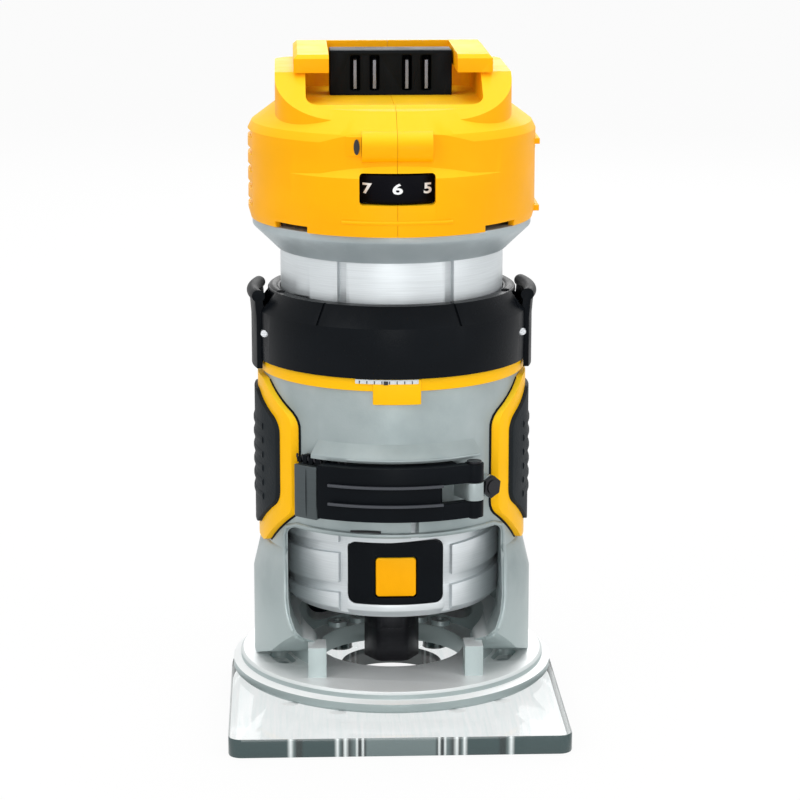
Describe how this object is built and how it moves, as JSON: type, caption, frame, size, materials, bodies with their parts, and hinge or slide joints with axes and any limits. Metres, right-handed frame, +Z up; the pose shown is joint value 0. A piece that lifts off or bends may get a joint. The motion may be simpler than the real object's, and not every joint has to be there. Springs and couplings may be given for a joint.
{
  "type": "trim router",
  "caption": "Cordless trim router: a drum-shaped head and threaded motor held in a cylindrical clamping base on a clear, square-fronted sole.",
  "frame": {"origin": "on the spindle axis, in the plane of the sole", "axes": "+Z up along the spindle, +Y to the back, operator at -Y facing the lock button, +X to the operator's right"},
  "size_m": [0.1024, 0.1222, 0.2018],
  "materials": {
    "clear": "clear polycarbonate, ground edges",
    "casting": "die cast, bead blasted and clear coated",
    "machined": "turned, bright",
    "collar_grey": "cast, satin",
    "black_plastic": "moulded glass-filled nylon, fine texture",
    "yellow_plastic": "moulded, fine satin texture",
    "rubber": "overmoulded grip",
    "steel": "zinc plated",
    "dark_steel": "black oxide",
    "copper": "enamelled copper wire",
    "board": "glass epoxy board",
    "lens": "clear lens"
  },
  "bodies": {
    "base": {"base_casting": "casting", "sub_base": "clear", "sub_base_screws": "steel", "grip_trim_right": "yellow_plastic", "grip_trim_left": "yellow_plastic", "grip_right": "rubber", "grip_left": "rubber", "chip_shield": "black_plastic", "clamp_strap": "steel", "clamp_bolt": "dark_steel", "clamp_nut": "dark_steel", "lever_pin": "steel"},
    "lever": {"lock_lever": "black_plastic"},
    "scale": {"scale_ring": "yellow_plastic"},
    "ring": {"depth_ring": "black_plastic", "tab_pins": "steel"},
    "tab_left": {"release_tab_left": "black_plastic"},
    "tab_right": {"release_tab_right": "black_plastic"},
    "motor": {"motor_can": "machined", "front_panel": "black_plastic", "collar": "collar_grey", "stator_core": "steel", "stator_windings": "copper", "lower_bearing_outer": "steel", "upper_bearing_outer": "steel", "bearing_carrier": "machined", "led_board": "board", "led_lenses": "lens", "controller_board": "board", "housing_left": "yellow_plastic", "housing_right": "yellow_plastic", "head_screws": "dark_steel", "dial_control": "black_plastic", "switch_bezel": "yellow_plastic", "terminal_block": "black_plastic", "terminal_blades": "steel", "lock_spring": "steel"},
    "dial": {"speed_dial": "black_plastic"},
    "rocker": {"power_rocker": "black_plastic"},
    "button": {"lock_button": "yellow_plastic"},
    "spindle": {"spindle_shaft": "steel", "collet": "steel", "collet_nut": "dark_steel", "rotor": "steel", "cooling_fan": "black_plastic", "lower_bearing_inner": "steel", "upper_bearing_inner": "steel", "bearing_balls": "steel"}
  },
  "joints": [
    {"name": "depth_slide", "type": "slide", "parent": "base", "child": "motor", "axis": [0, 0, 1], "range_m": [-0.0063, 0.0317]},
    {"name": "ring_turn", "type": "hinge", "parent": "base", "child": "ring", "pos_m": [0, 0, 0.118], "axis": [0, 0, 1], "range_deg": [-900, 180]},
    {"name": "tab_left_press", "type": "hinge", "parent": "ring", "child": "tab_left", "pos_m": [-0.0396, 0, 0.117], "axis": [0, 1, 0], "range_deg": [0, 8], "stiffness_Nm_per_rad": 0.06},
    {"name": "tab_right_press", "type": "hinge", "parent": "ring", "child": "tab_right", "pos_m": [0.0396, 0, 0.117], "axis": [0, -1, 0], "range_deg": [0, 8], "stiffness_Nm_per_rad": 0.06},
    {"name": "scale_turn", "type": "hinge", "parent": "base", "child": "scale", "pos_m": [0, 0, 0.106], "axis": [0, 0, 1], "range_deg": [-45, 45]},
    {"name": "lever_swing", "type": "hinge", "parent": "base", "child": "lever", "pos_m": [0.0233, -0.04036, 0.0736], "axis": [0, 0, 1], "range_deg": [0, 110]},
    {"name": "dial_turn", "type": "hinge", "parent": "motor", "child": "dial", "pos_m": [0, -0.0286, 0.1654], "axis": [0, 0, 1], "range_deg": [-170, 34]},
    {"name": "rocker_tip", "type": "hinge", "parent": "motor", "child": "rocker", "pos_m": [0.0404, 0, 0.1644], "axis": [0, -1, 0], "range_deg": [0, 12]},
    {"name": "lock_press", "type": "slide", "parent": "motor", "child": "button", "axis": [0, 1, 0], "range_m": [0, 0.003], "stiffness_N_per_m": 300, "deforming": ["lock_spring"]},
    {"name": "spindle_spin", "type": "hinge", "parent": "motor", "child": "spindle", "pos_m": [0, 0, 0.076], "axis": [0, 0, 1], "continuous": true}
  ],
  "couplings": [
    {"joint": "ring_turn", "follows": "depth_slide", "rad_per_m": -494.74}
  ]
}
